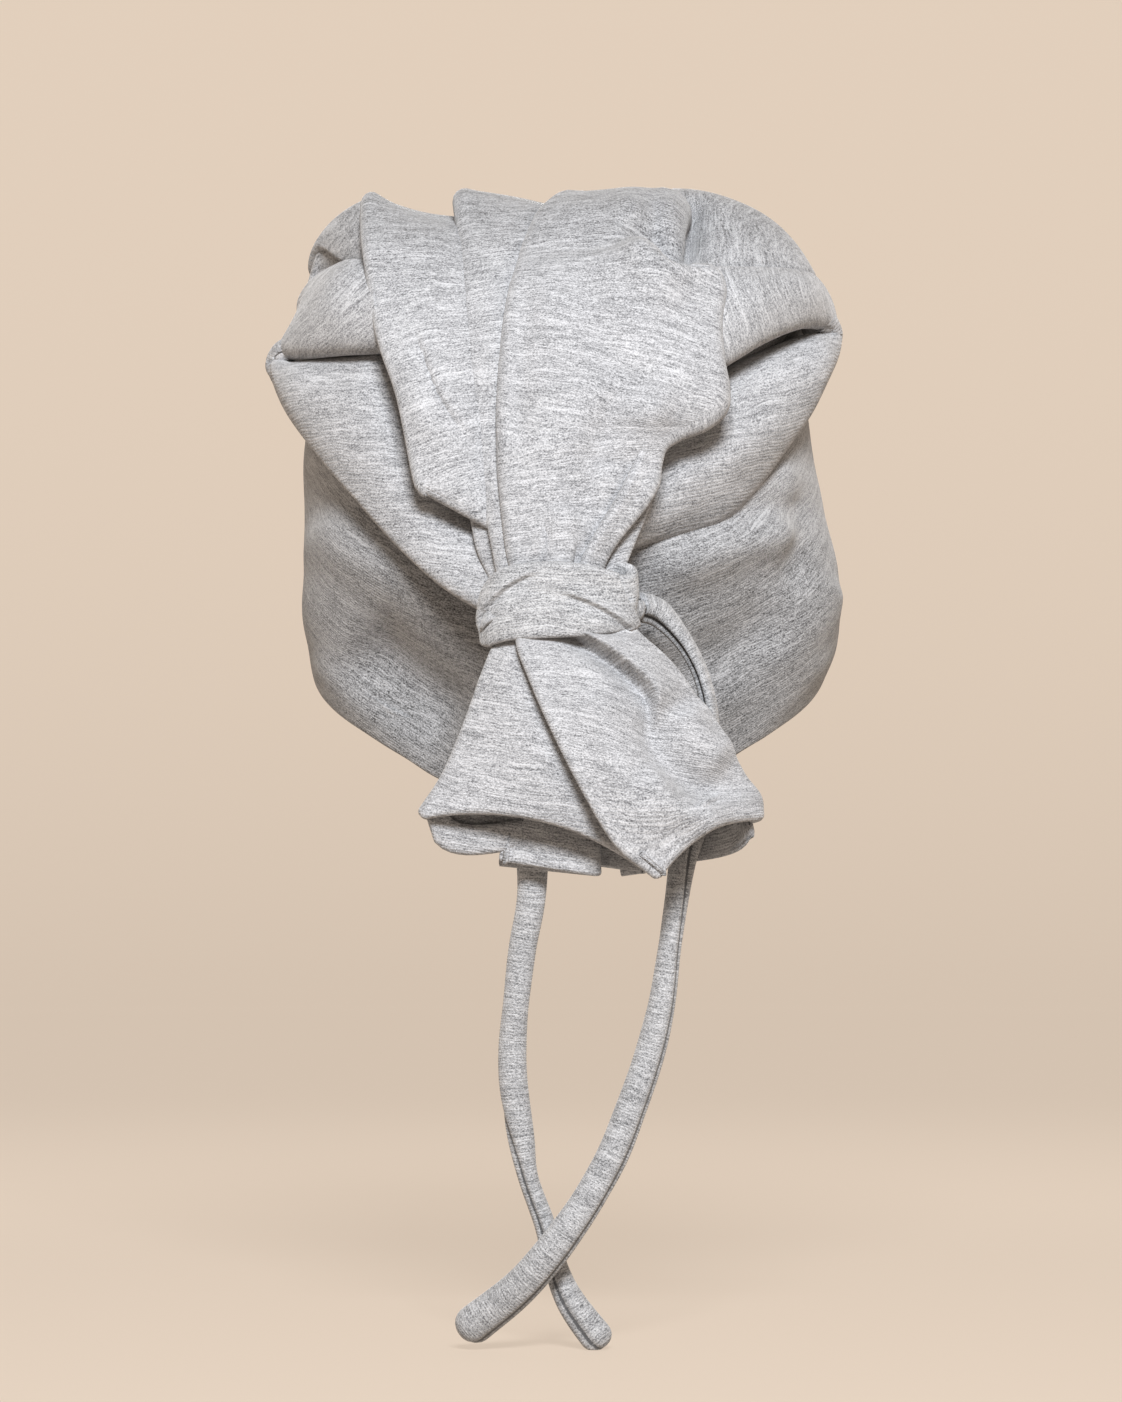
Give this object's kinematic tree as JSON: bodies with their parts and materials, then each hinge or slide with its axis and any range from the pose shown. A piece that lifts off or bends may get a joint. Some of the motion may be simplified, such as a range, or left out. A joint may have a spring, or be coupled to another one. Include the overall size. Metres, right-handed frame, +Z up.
{
  "type": "tie-knot beanie",
  "caption": "Soft jersey head wrap cap with gathered crown folds, a wrapped knot at the nape, a flared cloth tail and two hanging ties.",
  "frame": {"origin": "inside the crown, at the highest point of the head that carries the cap", "axes": "+Z up, -Y towards the knot at the nape, +Y towards the open face side, +X to the right of a viewer who looks at the knot"},
  "size_m": [0.2017, 0.2329, 0.4061],
  "materials": {
    "cap_jersey": "heathered light grey jersey knit, matt, stretched over the cap body",
    "drape_jersey": "heathered light grey jersey knit with pale slub streaks and dark flecks, matt",
    "tie_jersey": "heathered grey jersey rouleau, streaks across the tie, seam along one side"
  },
  "bodies": {
    "root": {"cap": "cap_jersey", "crown_fold_left": "drape_jersey", "crown_fold_right": "drape_jersey", "crown_roll_left": "drape_jersey", "crown_roll_right": "drape_jersey", "drape_centre": "drape_jersey", "drape_flap_left": "drape_jersey", "drape_pleat": "drape_jersey", "drape_tuck_left": "drape_jersey", "drape_tuck_right": "drape_jersey", "knot_band_lower": "tie_jersey", "knot_band_upper": "tie_jersey", "tail_inner_left": "drape_jersey", "tail_inner_right": "drape_jersey", "tail_left": "drape_jersey", "tail_return_left": "drape_jersey", "tail_return_right": "drape_jersey", "tail_right": "drape_jersey", "tie_left": "tie_jersey", "tie_right": "tie_jersey", "wing_left": "drape_jersey", "wing_right": "drape_jersey"}
  },
  "joints": []
}
